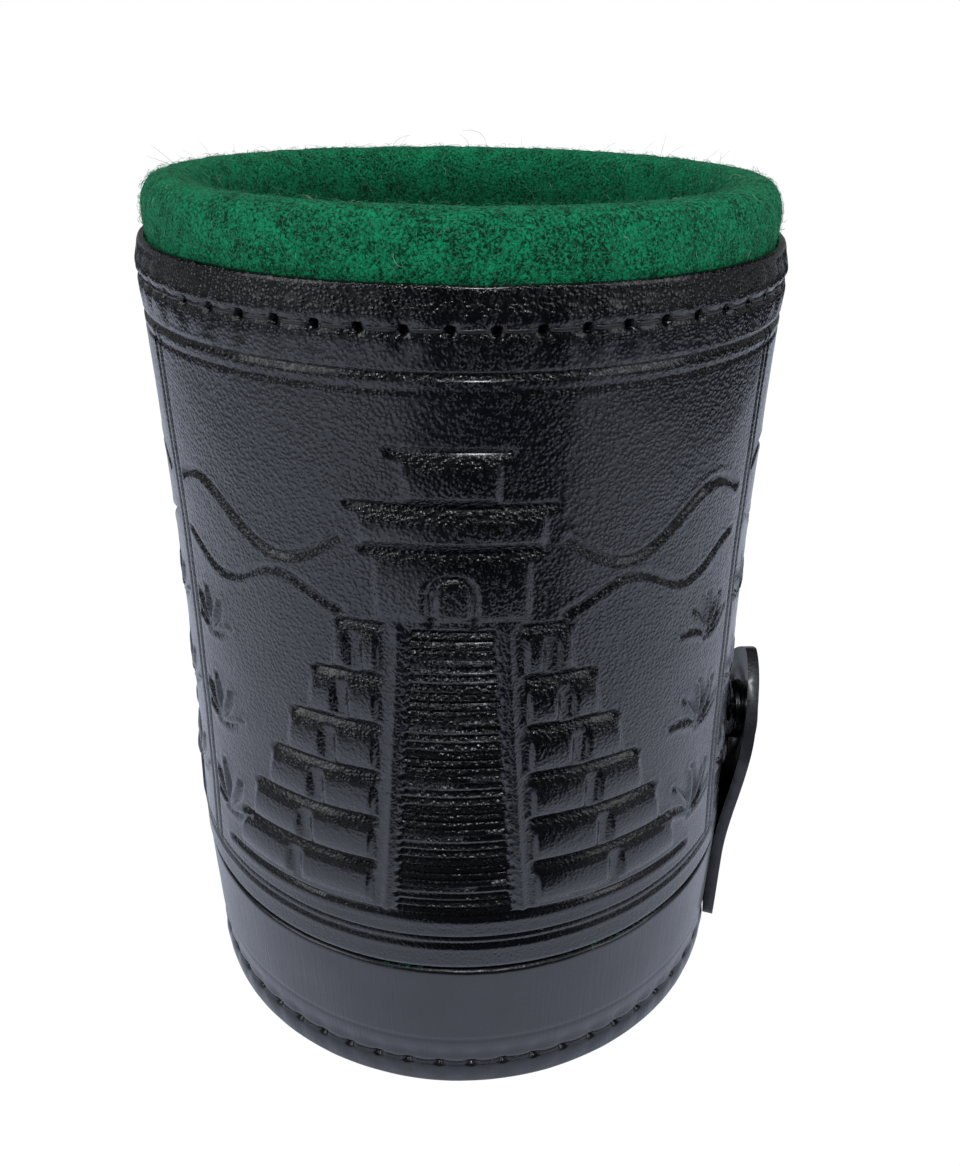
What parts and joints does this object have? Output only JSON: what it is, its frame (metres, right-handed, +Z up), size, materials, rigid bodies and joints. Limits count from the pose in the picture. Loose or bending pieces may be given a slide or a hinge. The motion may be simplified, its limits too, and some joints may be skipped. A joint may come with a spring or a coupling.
{
  "type": "leather dice cup",
  "caption": "Round leather shaking cup with a thick rolled felt lining, embossed wall, and a hinged felt-lined dice compartment under it that a snap strap closes.",
  "frame": {"origin": "centre of the resting face under the lid's base leather", "axes": "+Z up along the cup's axis towards its mouth, +X towards the closing strap, -X towards the hinge"},
  "size_m": [0.0921, 0.086, 0.12],
  "materials": {
    "cup_leather": "embossed and glazed, fine grain",
    "lid_leather": "smooth glazed, fine grain",
    "strap_leather": "smooth glazed outside, flesh side inside",
    "green_felt": "thick wool felt with loose fibres",
    "board": "pressed grey-brown board",
    "black_thread": "waxed twisted thread",
    "snap_metal": "nickel plated"
  },
  "bodies": {
    "cup": {"outer_leather": "cup_leather", "stiffening_tube": "board", "felt_lining": "green_felt", "floor_felt": "green_felt", "partition_board": "board", "compartment_ceiling_felt": "green_felt", "top_seam_thread": "black_thread", "back_seam_thread": "black_thread", "hinge_upper_leaf": "strap_leather", "hinge_upper_leaf_thread": "black_thread", "snap_stud": "snap_metal", "stud_rivet": "snap_metal"},
    "lid": {"lid_leather": "lid_leather", "lid_stiffening_ring": "board", "compartment_wall_felt": "green_felt", "base_leather": "lid_leather", "base_board": "board", "compartment_floor_felt": "green_felt", "base_seam_thread": "black_thread", "hinge_lower_leaf": "strap_leather", "hinge_lower_leaf_thread": "black_thread", "strap_root": "strap_leather", "strap_thread": "black_thread"},
    "strap": {"closing_strap": "strap_leather", "snap_cap": "snap_metal", "snap_socket": "snap_metal"}
  },
  "joints": [
    {"name": "lid_hinge", "type": "hinge", "parent": "cup", "child": "lid", "pos_m": [-0.04416, 0, 0.024], "axis": [0, 1, 0], "range_deg": [0, 110]},
    {"name": "strap_flex", "type": "hinge", "parent": "lid", "child": "strap", "pos_m": [0.04531, 0, 0.024], "axis": [0, 1, 0], "range_deg": [-3.5, 80], "stiffness_Nm_per_rad": 0.01}
  ]
}
